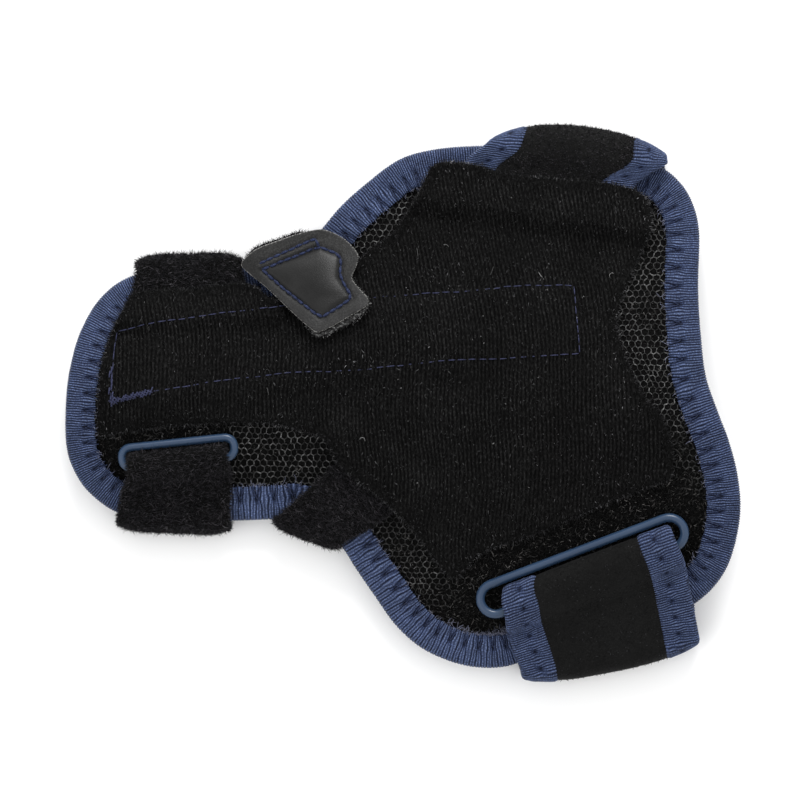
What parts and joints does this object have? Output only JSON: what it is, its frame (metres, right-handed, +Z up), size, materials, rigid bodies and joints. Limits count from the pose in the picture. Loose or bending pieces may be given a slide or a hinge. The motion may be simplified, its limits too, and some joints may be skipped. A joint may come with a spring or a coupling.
{
  "type": "thumb wrist brace",
  "caption": "Thumb and wrist brace lying flat: arched padded body with ribbed edge binding, loop panel, straps round the back, oblong rings and a pull tab.",
  "frame": {"origin": "middle of the bounding box at the surface that the brace lies on", "axes": "+X from the thumb end to the wrist end, +Y across the body, +Z up out of the surface"},
  "size_m": [0.1932, 0.1606, 0.0235],
  "materials": {
    "foam_mesh": "black spacer mesh over foam",
    "elastic_binding": "ribbed blue-grey elastic",
    "loop_cloth": "black ribbed brushed loop cloth",
    "fleece_strap": "black brushed fuzzy strap",
    "smooth_strap": "smooth black knit over foam",
    "tab_leather": "fine grained dark grey leather",
    "hook_pad": "black hook tape",
    "ring_plastic": "glossy blue-grey plastic"
  },
  "bodies": {
    "brace": {"body_panel": "foam_mesh", "edge_binding": "elastic_binding", "loop_panel": "loop_cloth", "thumb_strap": "fleece_strap", "cross_strap": "fleece_strap", "pull_tab": "tab_leather", "tab_hook_pad": "hook_pad", "wrist_strap": "smooth_strap", "wrist_strap_binding_left": "elastic_binding", "wrist_strap_binding_right": "elastic_binding"},
    "thumb_loop": {"thumb_ring": "ring_plastic"},
    "wrist_loop": {"wrist_ring": "ring_plastic"}
  },
  "joints": [
    {"name": "thumb_ring_turn", "type": "hinge", "parent": "brace", "child": "thumb_loop", "pos_m": [-0.06389, -0.01685, 0.01529], "axis": [0.9937, 0.1044, 0.0395], "range_deg": [0, 150]},
    {"name": "wrist_ring_turn", "type": "hinge", "parent": "brace", "child": "wrist_loop", "pos_m": [0.05291, -0.05046, 0.01642], "axis": [0.9286, 0.3565, 0.1028], "range_deg": [0, 150]}
  ]
}
